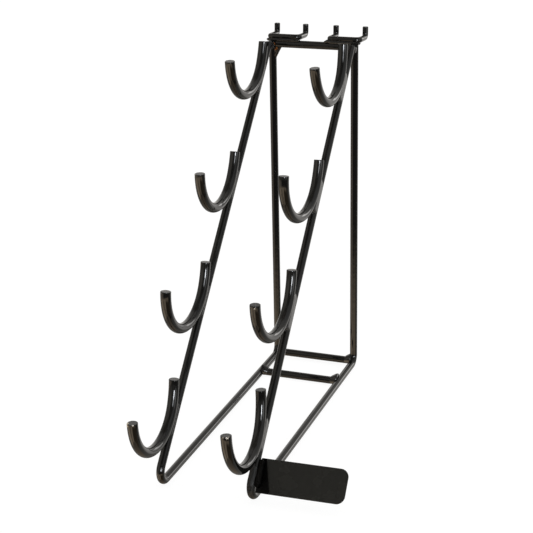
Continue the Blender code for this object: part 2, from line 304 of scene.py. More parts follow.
def cap_rings(bm, section, outward, radius, sides, edge, tilt, seed):
    """Rings from the rod's side round a small edge radius to the middle of a sawn end."""
    turns = [math.radians(d) for d in END_EDGE_DEG]
    profile = [(edge * (math.sin(a) - 1), radius - edge * (1 - math.cos(a))) for a in turns]
    profile += [(0, (radius - edge) * share) for share in END_FACE_SHARES]
    rings = []
    for depth, size in profile:
        verts = []
        for angle in angles_round(sides):
            spoke = spoke_at(section, angle)
            grain = noise.noise(spoke * size * SAW_GRAIN_SCALE + Vector((seed, 0, 0)))
            lift = depth + tilt.dot(spoke) * size + SAW_GRAIN_DEPTH * grain
            verts.append(bm.verts.new(section.point + spoke * size + outward * lift))
        rings.append(verts)
    return rings


def moved_along(section, distance):
    return section._replace(point=section.point + section.along * distance)


def rod_mesh(points, radius, sides, edge=0.00035, tilts=(Vector(), Vector()), seed=0):
    """Closed round rod with softened sawn ends, which the attribute "sawn" marks."""
    sections = sections_of(points)
    first, last = sections[0], sections[-1]
    bm = bmesh.new()
    sawn = bm.verts.layers.float.new("sawn")
    start = cap_rings(bm, first, -first.along, radius, sides, edge, tilts[0], seed + 1)
    end = cap_rings(bm, last, last.along, radius, sides, edge, tilts[1], seed + 2)
    after_start = [moved_along(first, distance) for distance in END_LOOPS]
    before_end = [moved_along(last, -distance) for distance in END_LOOPS[::-1]]
    body = [ring(bm, section, radius, sides) for section in (*after_start, *sections[1:-1], *before_end)]
    join_rings(bm, start[::-1] + body + end)
    for rings in (start, end):
        middle = close_ring(bm, rings[-1])
        middle[sawn] = 1.0
        for verts in rings[len(END_EDGE_DEG) - 1:]:
            for v in verts:
                v[sawn] = 1.0
    return bm


# ---- meshes: welds -------------------------------------------------------------------------
BEAD_STEP = 0.0003
BEAD_BLUNT = 0.00012               # how blunt a bead's two ends are
RIPPLE_PITCH = 0.0011
RIPPLE_DEPTH = 0.075               # as a share of the bead's half size
RIPPLE_BOW = 0.45                  # how far a ripple's middle runs ahead, in ripples
RIPPLE_WANDER = 0.5
RIPPLE_POWER = 0.6                 # under 1 for round crests and sharp valleys
RIPPLE_MEAN = 0.6                  # about the mean height of scallop()
WANDER_SCALE = 160
WANDER_ROW = 3.1                   # picks a row of the noise
LUMP_SCALE = 420
LUMP_SPREAD = 0.6
LUMP_HEIGHT = 0.05


def scallop(phase):
    """Rounded crests with a sharp valley between, once for each whole number."""
    return abs(math.sin(math.pi * phase)) ** RIPPLE_POWER


def resampled(points, step):
    """The same path with evenly spaced points, about this step apart."""
    lengths = [0.0]
    for start, end in zip(points, points[1:]):
        lengths.append(lengths[-1] + (end - start).length)
    count = round(lengths[-1] / step)
    found = []
    i = 0
    for k in range(count + 1):
        target = lengths[-1] * k / count
        while i < len(points) - 2 and lengths[i + 1] < target:
            i += 1
        share = (target - lengths[i]) / (lengths[i + 1] - lengths[i])
        found.append(points[i].lerp(points[i + 1], share))
    return found


def squareness(angle, power):
    """Radius of a rounded section at an angle: 1 all round at power 2, squarer above it."""
    return (abs(math.cos(angle)) ** power + abs(math.sin(angle)) ** power) ** (-1 / power)


def bead_mesh(points, half_sizes, crown, sides=20, seed=0, depth=RIPPLE_DEPTH):
    """Weld bead: a swept rounded section with the crescent ripples of drops laid in a row.

    half_sizes(share) gives the half width, half height and squareness of the section at a
    share of the length, and crown is the direction that the ripples bow along.
    """
    sections = sections_of(resampled(points, BEAD_STEP))
    last = len(sections) - 1
    bm = bmesh.new()
    rings = []
    for i, section in enumerate(sections):
        wide, high, square = half_sizes(i / last)
        to_end = min(i, last - i) * BEAD_STEP
        round_off = math.sqrt(min(1.0, (to_end + BEAD_BLUNT) / max(wide, high)))
        wander = noise.noise(Vector((i * BEAD_STEP * WANDER_SCALE, seed, WANDER_ROW)))
        verts = []
        for angle in angles_round(sides):
            spoke = spoke_at(section, angle)
            bow = RIPPLE_BOW * (1 - abs(spoke.dot(crown)))
            ripple = scallop(i * BEAD_STEP / RIPPLE_PITCH + bow + RIPPLE_WANDER * wander) - RIPPLE_MEAN
            lumps = noise.noise(section.point * LUMP_SCALE + spoke * LUMP_SPREAD + Vector((seed, 0, 0)))
            swell = round_off * squareness(angle, square) * (1 + depth * ripple + LUMP_HEIGHT * lumps)
            reach = section.across * math.cos(angle) * wide + section.other * math.sin(angle) * high
            verts.append(bm.verts.new(section.point + reach * swell))
        rings.append(verts)
    join_rings(bm, rings)
    close_ring(bm, rings[0])
    close_ring(bm, rings[-1])
    return bm


SLEEVE_SIDES = 56
SLEEVE_PROFILE = (                 # share of the sleeve's length, height above the bar
    (0.0, 0.0016), (0.12, 0.00175), (0.25, 0.0017), (0.4, 0.0014), (0.55, 0.00105),
    (0.7, 0.0007), (0.85, 0.00035), (0.97, 0.0), (1.0, -0.0003),
)
SLEEVE_EDGE_SCALE = 1.7            # slow unevenness round the sleeve
SLEEVE_EDGE_ROW = 5
SLEEVE_UNEVEN = 0.25
SLEEVE_THIN_BELOW = 0.25
SLEEVE_RAGGED = 0.0006
SLEEVE_RIPPLE = 0.00014
SLEEVE_RIPPLE_COUNT = 1.03         # times as many as the ripple pitch would give
SLEEVE_RIPPLE_SLANT = 0.8
SLEEVE_RIPPLE_WANDER = 0.4
SLEEVE_RIPPLE_FADE = 4             # the ripples fade out over the last quarter
SLEEVE_LEAN_POWER = 0.7


def sleeve_mesh(outer, inner, lift, seed):
    """Fillet round a bar's end: fat against the side frame, thinning to nothing along the bar."""
    axis = (inner - outer).normalized()
    up = Vector((0, 0, 1))
    side = axis.cross(up).normalized()
    bm = bmesh.new()
    rings = []
    for share, swell in SLEEVE_PROFILE:
        centre = outer.lerp(inner, share) + up * (lift * (1 - share) ** SLEEVE_LEAN_POWER)
        verts = []
        for angle in angles_round(SLEEVE_SIDES):
            spoke = side * math.cos(angle) + up * math.sin(angle)
            edge = noise.noise(spoke * SLEEVE_EDGE_SCALE + Vector((seed, SLEEVE_EDGE_ROW, 0)))
            phase = angle * FRAME_ROD_R / RIPPLE_PITCH * SLEEVE_RIPPLE_COUNT
            phase += SLEEVE_RIPPLE_SLANT * share
            phase += SLEEVE_RIPPLE_WANDER * edge
            fade = min(1, SLEEVE_RIPPLE_FADE * (1 - share))
            bumps = SLEEVE_RIPPLE * (scallop(phase) - RIPPLE_MEAN) * fade
            height = swell * (1 + SLEEVE_UNEVEN * edge) * (1 + SLEEVE_THIN_BELOW * min(0, spoke.z))
            verts.append(bm.verts.new(
                centre + spoke * (FRAME_ROD_R + height + bumps) + axis * SLEEVE_RAGGED * edge * share))
        rings.append(verts)
    join_rings(bm, rings)
    bm.faces.new(rings[0])
    bm.faces.new(rings[-1])
    return bm


BLOB_FOLDS = 2.2                   # sets how many ripples a blob has from top to bottom
BLOB_FOLD_DEPTH = 0.05
BLOB_RISE = 1.2
BLOB_WANDER = 0.5
BLOB_WANDER_SCALE = 1.3
BLOB_LUMP_SCALE = 2.4
BLOB_LUMP_DEPTH = 0.09


def blob_mesh(centre, half_sizes, seed):
    """Lump of weld metal where two passes ended on each other."""
    bm = bmesh.new()
    bmesh.ops.create_icosphere(bm, subdivisions=4, radius=1)
    for v in bm.verts:
        n = v.co.normalized()
        flow = n.z * BLOB_RISE + BLOB_WANDER * noise.noise(n * BLOB_WANDER_SCALE + Vector((seed, 0, 0)))
        folds = BLOB_FOLD_DEPTH * (scallop(flow * BLOB_FOLDS) - RIPPLE_MEAN)
        swell = 1 + folds + BLOB_LUMP_DEPTH * noise.noise(n * BLOB_LUMP_SCALE + Vector((0, seed, 0)))
        v.co = centre + Vector(n[i] * half_sizes[i] * swell for i in range(3))
    return bm


# ---- meshes: the plate ---------------------------------------------------------------------
PLATE_EDGE_R = 0.0003
PLATE_EDGE_DEG = (0, 30, 60, 90)
PLATE_FLAT_INSETS = (0.0012, 0.0006)   # loops on the flat, which keep the edge's shading crisp
PLATE_ARC_STEPS = 12


def plate_outline(inset):
    """The sheet's outline, this far inside its edge, anticlockwise from the bottom left corner."""
    width = PLATE_RIGHT_X - PLATE_LEFT_X
    height = PLATE_HIGH_STATION - PLATE_LOW_STATION
    radius = PLATE_CORNER_R - inset
    points = [(inset, inset - height)]
    for centre_y, start in ((PLATE_CORNER_R - height, -90), (-PLATE_CORNER_R, 0)):
        for i in range(PLATE_ARC_STEPS + 1):
            angle = math.radians(start + 90 * i / PLATE_ARC_STEPS)
            points.append((width - PLATE_CORNER_R + radius * math.cos(angle),
                           centre_y + radius * math.sin(angle)))
    return points + [(inset, -inset)]


def plate_mesh():
    """Sheet with rounded right-hand corners, its sheared edges softened on both faces."""
    turns = [math.radians(d) for d in PLATE_EDGE_DEG]
    layers = [(inset, 0.0) for inset in PLATE_FLAT_INSETS]
    layers += [(PLATE_EDGE_R * (1 - math.sin(a)), PLATE_EDGE_R * (1 - math.cos(a))) for a in turns]
    layers += [(inset, PLATE_THICKNESS - depth) for inset, depth in layers[::-1]]
    behind = -PLATE_FACE_BEHIND - PLATE_THICKNESS
    corner = on_leg(PLATE_HIGH_STATION, behind) + Vector((PLATE_LEFT_X, 0, 0))
    axes = Matrix((Vector((1, 0, 0)), LEG_AXIS, LEG_NORMAL)).transposed()
    turned = Matrix.Translation(corner) @ axes.to_4x4() @ Matrix.Rotation(PLATE_TURN, 4, "Z")
    bm = bmesh.new()
    rings = []
    for inset, z in layers:
        rings.append([bm.verts.new(turned @ Vector((x, y, z))) for x, y in plate_outline(inset)])
    join_rings(bm, rings)
    bm.faces.new(rings[0])
    bm.faces.new(rings[-1])
    return bm


# ---- materials -----------------------------------------------------------------------------
class Graph:
    """Short calls that add linked nodes to a node tree."""

    def __init__(self, tree):
        self.tree = tree

    def node(self, kind, inputs=(), **settings):
        node = self.tree.nodes.new(kind)
        for name, value in settings.items():
            setattr(node, name, value)
        for key, value in dict(inputs).items():
            if isinstance(value, bpy.types.NodeSocket):
                self.tree.links.new(value, node.inputs[key])
            else:
                node.inputs[key].default_value = value
        return node

    def math(self, operation, *values):
        return self.node("ShaderNodeMath", enumerate(values), operation=operation).outputs[0]

    def ramp(self, value, low, high, to_low=0.0, to_high=1.0):
        """Smooth step from to_low at low to to_high at high."""
        inputs = {"Value": value, "From Min": low, "From Max": high,
                  "To Min": to_low, "To Max": to_high}
        return self.node("ShaderNodeMapRange", inputs, interpolation_type="SMOOTHSTEP").outputs[0]

    def mix(self, factor, first, second):
        inputs = {0: factor, 6: first, 7: second}
        return self.node("ShaderNodeMix", inputs, data_type="RGBA").outputs[2]

    def noise(self, place, scale, detail=2.0):
        inputs = {"Vector": place, "Scale": scale, "Detail": detail}
        return self.node("ShaderNodeTexNoise", inputs).outputs["Fac"]

    def here(self):
        """The place on the rack, in metres."""
        return self.node("ShaderNodeTexCoord").outputs["Object"]

    def split(self, vector):
        return self.node("ShaderNodeSeparateXYZ", {0: vector}).outputs


DUST = (0.060, 0.054, 0.046, 1)
# lighter grey of sawn end faces: a painted reflection of the bright surroundings in them
SAWN_END_SHEEN = (0.030, 0.030, 0.031, 1)
STEEL = (0.46, 0.43, 0.39)
RUBBED = (0.66, 0.58, 0.45)
HEAT_TINT = (0.30, 0.105, 0.022)
SOOT = (0.0030, 0.0029, 0.0028)
# near-black colour of the painted shadow on the plate beside its weld
PAINTED_SHADOW = (0.0008, 0.0008, 0.0008, 1)

# Noise in the enamel, in cycles a metre, and how high each stands
CLOUD_SCALE = 75.0
DRIFT_SCALE = 260.0
PEEL_SCALE = 1500.0
GRIT_SCALE = 5200.0
DRIFT_HEIGHT = 0.000030
PEEL_HEIGHT = 0.0000045
SPECK_HEIGHT = 0.000006
SAWN_HEIGHT = 0.00002
SEED_SHIFT = (0.31, 0.17, 0.0)     # how far apart the noise of two enamels is taken

# A rubbed, sooty or heat-tinted spot: bare is 1 for uncovered metal, and dull is added to the roughness.
Mark = namedtuple("Mark", "centre radius tint strength bare dull", defaults=(0.0, 0.2))
MARK_TATTER = 2.2                  # how far a mark's outline wanders, in radii
MARK_TATTER_CYCLES = 1.6           # noise cycles in one radius
MARK_RIM = (1.05, 0.95)            # where its edge starts and ends, in radii


def spot_of(g, here, place, mark):
    """1 inside a mark's ragged outline, times its strength, and 0 outside it."""
    away = g.node("ShaderNodeVectorMath", {0: here, 1: tuple(mark.centre)}, operation="DISTANCE")
    tatter = g.math("SUBTRACT", g.noise(place, MARK_TATTER_CYCLES / mark.radius, 3.0), 0.5)
    wander = g.math("MULTIPLY", tatter, MARK_TATTER * mark.radius)
    ragged = g.math("ADD", away.outputs["Value"], wander)
    outer, inner = MARK_RIM
    return g.ramp(ragged, mark.radius * outer, mark.radius * (inner - mark.dull), 0.0, mark.strength)


def enamel(name, seed, shade, gloss, waves=1.0, marks=(), blue=1.03, specular=0.5):
    """Black enamel on steel: orange peel, uneven gloss, settled dust and duller sawn ends, whose lighter
    grey is a painted reflection.
    """
    mat = bpy.data.materials.new(name)
    mat.use_nodes = True
    tree = mat.node_tree
    shader = tree.nodes["Principled BSDF"]
    shader.inputs["Specular IOR Level"].default_value = specular
    g = Graph(tree)
    here = g.here()
    shift = tuple(seed * step for step in SEED_SHIFT)
    place = g.node("ShaderNodeMapping", {0: here, "Location": shift}).outputs[0]
    clouds = g.noise(place, CLOUD_SCALE, 3.0)
    drift = g.noise(place, DRIFT_SCALE)
    peel = g.noise(place, PEEL_SCALE)
    grit = g.noise(place, GRIT_SCALE)
    cut = g.node("ShaderNodeAttribute", attribute_name="sawn").outputs["Fac"]
    upward = g.split(g.node("ShaderNodeNewGeometry").outputs["Normal"])[2]

    dustiness = g.ramp(clouds, 0.40, 0.68, to_low=0.02, to_high=0.11)
    settled = g.math("MULTIPLY", g.ramp(upward, 0.15, 1.0), dustiness)
    specks = g.ramp(grit, 0.66, 0.72, to_high=0.35)
    strewn = g.math("MULTIPLY", specks, g.ramp(drift, 0.5, 0.7, to_low=0.05, to_high=0.5))
    colour = g.mix(g.math("MAXIMUM", settled, strewn), (shade, shade, shade * blue, 1), DUST)
    # sawn ends painted a lighter grey: painted reflection
    colour = g.mix(g.math("MULTIPLY", cut, 0.55), colour, SAWN_END_SHEEN)

    rough = g.ramp(clouds, 0.38, 0.66, to_low=gloss * 0.75, to_high=gloss * 1.5)
    rough = g.math("ADD", rough, g.math("MULTIPLY", specks, 0.18))
    rough = g.math("ADD", rough, g.math("MULTIPLY", settled, 0.25))
    sawn_rough = g.ramp(peel, 0.3, 0.7, to_low=0.12, to_high=0.30)
    rough = g.math("ADD", rough, g.math("MULTIPLY", cut, sawn_rough))
    metal = 0.0
    for mark in marks:
        spot = spot_of(g, here, place, mark)
        colour = g.mix(spot, colour, (*mark.tint, 1))
        rough = g.math("ADD", rough, g.math("MULTIPLY", spot, mark.dull))
        metal = g.math("MAXIMUM", metal, g.math("MULTIPLY", spot, mark.bare))
    tree.links.new(colour, shader.inputs["Base Color"])
    tree.links.new(rough, shader.inputs["Roughness"])
    if marks:
        tree.links.new(metal, shader.inputs["Metallic"])

    height = g.math("MULTIPLY", drift, DRIFT_HEIGHT * waves)
    height = g.math("ADD", height, g.math("MULTIPLY", peel, PEEL_HEIGHT * waves))
    height = g.math("ADD", height, g.math("MULTIPLY", specks, SPECK_HEIGHT))
    saw_marks = g.math("MULTIPLY", g.math("MULTIPLY", cut, grit), SAWN_HEIGHT)
    height = g.math("ADD", height, saw_marks)
    bump = g.node("ShaderNodeBump", {"Height": height, "Strength": 1.0, "Distance": 1.0})
    tree.links.new(bump.outputs[0], shader.inputs["Normal"])
    return mat


def frame_enamel():
    """Gloss enamel, heat-tinted at the top left and sooty round the right frame's front corner."""
    right = Vector((side_x("right"), 0, 0))
    tinted = Vector((side_x("left") + 0.0012, UPRIGHT_Y - 0.0030, TOP_Z - 0.0004))
    return enamel("frame_enamel", 1, shade=0.0024, gloss=0.045, marks=[
        Mark(tinted, 0.0020, HEAT_TINT, 0.40),
        Mark(FRONT_CORNER + right + Vector((0, 0.0030, 0.0050)), 0.0110, SOOT, 1.0, dull=0.6),
        Mark(on_leg(0.0220) + right, 0.0150, SOOT, 1.0, dull=0.6),
    ])


def rim_point(side, level, direction, below):
    """Point on the rim of a hook's front tip."""
    path = hook_path(side, level)
    along = (path[1] - path[0]).normalized()
    spoke = Vector(direction)
    spoke = (spoke - along * spoke.dot(along)).normalized()
    return path[0] + along * below + spoke * HOOK_ROD_R


def hook_enamel():
    """Gloss enamel, rubbed or chipped down to the steel on the rims of some front tips."""
    return enamel("hook_enamel", 2, shade=0.0024, gloss=0.048, waves=1.3, marks=[
        Mark(rim_point("left", 0, (-0.9, -0.5, 0), 0.0006), 0.0020, RUBBED, 0.75, bare=0.1),
        Mark(rim_point("left", 0, (0.5, -0.9, 0), 0.0), 0.0010, STEEL, 0.9, bare=0.8),
        Mark(rim_point("right", 0, (0.6, -0.8, 0), 0.0002), 0.0014, STEEL, 1.0, bare=0.8),
        Mark(rim_point("right", 0, (-0.2, -1.0, 0), 0.0), 0.0007, STEEL, 0.8, bare=0.8),
        Mark(rim_point("right", 1, (0.3, -0.9, 0), 0.0016), 0.0006, STEEL, 0.8, bare=0.5),
        Mark(rim_point("left", 2, (-0.6, -0.7, 0), 0.0), 0.0008, STEEL, 0.6, bare=0.5),
        Mark(rim_point("left", 3, (-0.8, -0.5, 0), 0.0), 0.0009, STEEL, 0.6, bare=0.6),
    ])


def weld_enamel():
    """Thicker enamel over rippled beads, heat-tinted at the top left."""
    tinted = Vector((side_x("left") + 0.0030, UPRIGHT_Y - 0.0025, TOP_Z - 0.0030))
    marks = [Mark(tinted, 0.0024, HEAT_TINT, 0.45)]
    return enamel("weld_enamel", 4, shade=0.0060, gloss=0.085, waves=1.3, marks=marks)


SHADOW_SPREAD = 0.42                # the painted shadow beside the plate's weld is wider lower down
SHADOW_FROM = 0.0026
SHADOW_TO = 0.0042


def plate_enamel():
    """Satin enamel, with a painted shadow in a wedge beside the weld, where the leg and hook shade the
    plate.
    """
    mat = enamel("plate_enamel", 5, shade=0.0150, gloss=0.20, waves=0.35, blue=0.90, specular=0.12)
    tree = mat.node_tree
    base = tree.nodes["Principled BSDF"].inputs["Base Color"]
    g = Graph(tree)
    x, _, z = g.split(g.here())
    down = g.math("SUBTRACT", on_leg(PLATE_HIGH_STATION).z, z)
    across = g.math("SUBTRACT", x, g.math("MULTIPLY", down, SHADOW_SPREAD))
    # painted shadow: a near-black wedge of the plate beside the weld, crisp at the top and wider lower
    # down
    shadow_wedge = g.ramp(across, PLATE_LEFT_X + SHADOW_FROM, PLATE_LEFT_X + SHADOW_TO, 1.0, 0.0)
    colour = g.mix(shadow_wedge, base.links[0].from_socket, PAINTED_SHADOW)
    tree.links.new(colour, base)
    return mat


# ---- the rack: rods and wires --------------------------------------------------------------
FRAME_ROD_SIDES = 40
HOOK_ROD_SIDES = 48
CLIP_WIRE_SIDES = 32
CLIP_EDGE = 0.0005
HOOK_END_TILT = 0.05               # how far from square a hook's ends are sawn
FRONT_END_ROW = 0.4                # rows of the noise that this is taken from
BACK_END_ROW = 5.6


def add_side_frame(side, mat):
    name = side + "_side_frame"
    bm = rod_mesh(side_frame_path(side), FRAME_ROD_R, FRAME_ROD_SIDES)
    add_piece(name + "_rod", bm, mat, name)


def add_cross_bars(mat):
    for name, (y, z) in {"top_bar": (UPRIGHT_Y, TOP_Z), **CROSS_ROD_AT}.items():
        bm = rod_mesh(cross_path(y, z), FRAME_ROD_R, FRAME_ROD_SIDES)
        add_piece(name + "_rod", bm, mat, name)


def sawn_tilt(seed, end_row):
    """A small lean of a sawn end, picked by noise and so the same each run."""
    x, y = (noise.noise(Vector((seed, end_row, axis_row))) for axis_row in (0.3, 7.3))
    return HOOK_END_TILT * Vector((x, y, 0))


def add_hooks(side, mat):
    for level in LEVELS:
        name = "%s_hook_%d" % (side, level + 1)
        seed = 7 * level + 3 * SIDES[side]
        tilts = [sawn_tilt(seed, FRONT_END_ROW), sawn_tilt(seed, BACK_END_ROW)]
        bm = rod_mesh(hook_path(side, level), HOOK_ROD_R, HOOK_ROD_SIDES, tilts=tilts, seed=seed)
        add_piece(name + "_rod", bm, mat, name)


def add_clip(side, mat):
    name = side + "_peg_clip"
    bm = rod_mesh(clip_path(side), CLIP_WIRE_R, CLIP_WIRE_SIDES, edge=CLIP_EDGE)
    add_piece(name + "_wire", bm, mat, name)


# ---- the rack: welds -----------------------------------------------------------------------
HOOK_WELD_REACH = {                # along the leg, below and above the hook's middle
    "left": ((0.0125, 0.0125), (0.0125, 0.0125), (0.0125, 0.0125), (0.0150, 0.0105)),
    "right": ((0.0125, 0.0125), (0.0165, 0.0130), (0.0155, 0.0125), (0.0170, 0.0085)),
}
HOOK_WELD_LOW_LIFT = 0.0009        # of the bead's middle, above the leg's surface
HOOK_WELD_HIGH_LIFT = 0.0005
HOOK_WELD_ASIDE = 0.0025           # from the leg's middle to the bead on each side
HOOK_WELD_TURN_R = 0.0023
HOOK_WELD_RIPPLE = 0.012
HOOK_BEAD = (0.0012, 0.0017, 2)    # half width, half height and squareness inboard
HOOK_BEAD_OUTBOARD = (-0.0001, 0.0023, 3)   # what is added to each outboard
HOOK_BEAD_CHANGE = 12              # how suddenly one becomes the other, below the hook
BEAD_SIDES = 28

SLEEVE_START = 0.0012              # inboard of the leg's axis
SLEEVE_LENGTH = 0.0064
SLEEVE_LIFT = 0.0017

GUSSET_INBOARD = 0.0015
GUSSET_POINTS = ((0.0066, 0.0012), (0.0014, 0.0038), (-0.0002, 0.0130))   # further inboard, down
GUSSET_ENDS = (0.0012, 0.0014)     # half width and half height at its two ends,
GUSSET_FILL = (0.0012, 0.0009)     # and what is added to each in its middle
GUSSET_FILL_POWER = 0.8
GUSSET_SQUARENESS = 2.4
GUSSET_STEPS = 12
GUSSET_RIPPLE = 0.05

HEAD_WELD_AHEAD = 0.0058
HEAD_WELD_DOWN = 0.0008
HEAD_WELD_HALF_SIZES = (0.0032, 0.0039, 0.0039)

CLIP_WELD_R = 0.0015
CLIP_WELD_LIFT = 0.0004
CLIP_WELDS = {                     # half length, and place ahead of or behind the top bar's axis
    "front": (PEG_PITCH / 2 + 0.0020, UPRIGHT_Y - 0.0019),
    "rear": (PEG_PITCH / 2 - 0.0050, UPRIGHT_Y + 0.0021),
}
# The right clip's front weld starts further left, further back and lower than its left end
# would be, and climbs onto the bar. Its first points, from that end:
CLIMB = (Vector((-0.0026, 0.0010, -0.0012)), Vector((0.0010, 0.0004, 0.0007)), Vector((0.0040, 0, 0)))

PLATE_WELD_ASIDE = 0.0014          # right of the leg's surface
PLATE_WELD_LOW = PLATE_LOW_STATION + 0.0035
PLATE_WELD_HIGH = PLATE_HIGH_STATION - 0.0012
PLATE_WELD_LOW_LIFT = 0.0002       # above the plane of the legs' axes
PLATE_WELD_HIGH_LIFT = 0.0004
PLATE_WELD_HALF_WIDTH = 0.0021
PLATE_WELD_FLARE = 0.0008          # added to it at the lower end
PLATE_WELD_HALF_HEIGHT = 0.0020
PLATE_WELD_SIDES = 24
PLATE_WELD_RIPPLE = 0.05


def add_weld(name, bm, mat):
    add_piece(name + "_bead", bm, mat, name)


def thinned(share, by, power):
    """1 in the middle of a bead's length, falling by this much towards both ends."""
    return 1 - by * abs(2 * share - 1) ** power


def hook_weld_sizes(sign):
    """Half sizes of a hook's weld: flush with both rods outboard, and a small bead inboard."""
    def half_sizes(share):
        outboard = min(1, max(0, 0.5 + sign * (share - 0.5) * HOOK_BEAD_CHANGE))
        wide, high, square = (size + more * outboard for size, more in zip(HOOK_BEAD, HOOK_BEAD_OUTBOARD))
        taper = thinned(share, 0.3, 6)
        return wide * taper, high * taper, square
    return half_sizes


def gusset_sizes(share):
    """Half sizes of a top corner's weld, which is fullest in its middle."""
    fill = math.sin(math.pi * share) ** GUSSET_FILL_POWER
    wide, high = (size + more * fill for size, more in zip(GUSSET_ENDS, GUSSET_FILL))
    return wide, high, GUSSET_SQUARENESS


def clip_weld_sizes(share):
    """Half sizes of a clip's weld, which thins towards both ends."""
    size = CLIP_WELD_R * thinned(share, 0.3, 3)
    return size, size, 2


def plate_weld_sizes(share):
    """Half sizes of the plate's weld, which is widest at its lower end."""
    wide = PLATE_WELD_HALF_WIDTH + PLATE_WELD_FLARE * (1 - share) ** 2
    return wide, PLATE_WELD_HALF_HEIGHT, 2


def add_hook_welds(side, mat):
    """A bead down one side of each hook's contact, round below it, and up the other side."""
    sign = SIDES[side]
    left, right = Vector((-HOOK_WELD_ASIDE, 0, 0)), Vector((HOOK_WELD_ASIDE, 0, 0))
    for level, station in enumerate(HOOK_STATIONS[side]):
        inset = Vector((side_x(side) - sign * HOOK_INSET[side][level] / 2, 0, 0))
        below, above = HOOK_WELD_REACH[side][level]
        low = on_leg(station - below, FRAME_ROD_R + HOOK_WELD_LOW_LIFT) + inset
        high = on_leg(station + above, FRAME_ROD_R + HOOK_WELD_HIGH_LIFT) + inset
        path = rounded_path([high + left, low + left, low + right, high + right], [HOOK_WELD_TURN_R] * 2)
        bm = bead_mesh(path, hook_weld_sizes(sign), LEG_NORMAL,
                       sides=BEAD_SIDES, seed=level + 10 * sign, depth=HOOK_WELD_RIPPLE)
        add_weld("%s_hook_%d_weld" % (side, level + 1), bm, mat)


def add_cross_rod_welds(side, mat):
    sign = SIDES[side]
    inboard = Vector((-sign, 0, 0))
    for seed, (rod, (y, z)) in enumerate(CROSS_ROD_AT.items()):
        outer = Vector((side_x(side), y, z)) + inboard * SLEEVE_START
        bm = sleeve_mesh(outer, outer + inboard * SLEEVE_LENGTH, SLEEVE_LIFT, seed + sign * 3)
        add_weld("%s_%s_weld" % (side, rod), bm, mat)


def add_top_welds(side, mat):
    """The gusset between top bar and upright, and the lump between leg and upright."""
    sign = SIDES[side]
    corner_x = side_x(side) - sign * GUSSET_INBOARD
    points = [Vector((corner_x - sign * inboard, UPRIGHT_Y, TOP_Z - down))
              for inboard, down in GUSSET_POINTS]
    path = eased(*points, GUSSET_STEPS)
    bm = bead_mesh(path, gusset_sizes, OUTWARD, sides=BEAD_SIDES, seed=5 * sign, depth=GUSSET_RIPPLE)
    add_weld(side + "_top_corner_weld", bm, mat)
    centre = Vector((side_x(side), UPRIGHT_Y - HEAD_WELD_AHEAD, TOP_Z - HEAD_WELD_DOWN))
    add_weld(side + "_head_weld", blob_mesh(centre, HEAD_WELD_HALF_SIZES, 2 * sign), mat)


def add_clip_welds(side, mat):
    groove_z = TOP_Z + FRAME_ROD_R + CLIP_WELD_LIFT
    for place, (reach, y) in CLIP_WELDS.items():
        path = [Vector((CLIP_CENTRE_X[side] + x, y, groove_z)) for x in (-reach, reach)]
        if (side, place) == ("right", "front"):
            path = [path[0] + step for step in CLIMB] + path[1:]
        seed = 3 * SIDES[side] + reach * 100
        bm = bead_mesh(path, clip_weld_sizes, OUTWARD, seed=seed)
        add_weld("%s_clip_%s_weld" % (side, place), bm, mat)


def add_plate_weld():
    # near-black, almost unreflecting enamel on the plate's weld: the weld's dull finish, with its base
    # colour darkened as painted shade where the leg shades the plate beside it
    mat = enamel("plate_weld_enamel", 6, shade=0.0010, gloss=0.50, specular=0.04)
    x = Vector((side_x("right") + FRAME_ROD_R + PLATE_WELD_ASIDE, 0, 0))
    low = on_leg(PLATE_WELD_LOW, PLATE_WELD_LOW_LIFT) + x
    high = on_leg(PLATE_WELD_HIGH, PLATE_WELD_HIGH_LIFT) + x
    bm = bead_mesh([low, high], plate_weld_sizes, LEG_NORMAL,
                   sides=PLATE_WELD_SIDES, seed=21, depth=PLATE_WELD_RIPPLE)
    add_weld("sign_plate_weld", bm, mat)


def add_rack():
    frame_paint = frame_enamel()
    hook_paint = hook_enamel()
    clip_paint = enamel("clip_enamel", 3, shade=0.0028, gloss=0.065)
    for side in SIDES:
        add_side_frame(side, frame_paint)
    add_cross_bars(frame_paint)
    for side in SIDES:
        add_hooks(side, hook_paint)
        add_clip(side, clip_paint)
    weld_paint = weld_enamel()
    # light grey base colour on the hooks' welds: a painted reflection of the light off to the right in
    # their outboard faces
    hook_weld_sheen_paint = enamel("hook_weld_sheen_enamel", 7, shade=0.018, gloss=0.24)
    for side in SIDES:
        add_hook_welds(side, hook_weld_sheen_paint)
        add_cross_rod_welds(side, weld_paint)
        add_top_welds(side, weld_paint)
        add_clip_welds(side, weld_paint)
    add_plate_weld()
    add_piece("sign_plate_sheet", plate_mesh(), plate_enamel(), "sign_plate")


# ---- camera --------------------------------------------------------------------------------
CAMERA_AT = Vector((0.3514, -1.0602, 0.2021))
CAMERA_YAW = math.radians(20.57)
CAMERA_PITCH = math.radians(19.87)
CAMERA_ROLL = math.radians(-1.14)
CAMERA_LENS = 91.03
SENSOR_WIDTH = 36


def add_camera():
    data = bpy.data.cameras.new("camera")
    data.sensor_width = SENSOR_WIDTH
    data.lens = CAMERA_LENS
    data.clip_start = 0.05
    data.clip_end = 50
    back = Vector((
        math.sin(CAMERA_YAW) * math.cos(CAMERA_PITCH),
        -math.cos(CAMERA_YAW) * math.cos(CAMERA_PITCH),
        math.sin(CAMERA_PITCH),
    ))
    right = (-back).cross(Vector((0, 0, 1))).normalized()
    up = right.cross(-back)
    rolled_right = right * math.cos(CAMERA_ROLL) + up * math.sin(CAMERA_ROLL)
    rolled_up = up * math.cos(CAMERA_ROLL) - right * math.sin(CAMERA_ROLL)
    turn = Matrix((rolled_right, rolled_up, back)).transposed()
    camera = bpy.data.objects.new("camera", data)
    camera.matrix_world = Matrix.Translation(CAMERA_AT) @ turn.to_4x4()
    bpy.context.scene.collection.objects.link(camera)
    bpy.context.scene.camera = camera
    bpy.context.scene.view_settings.view_transform = "Standard"


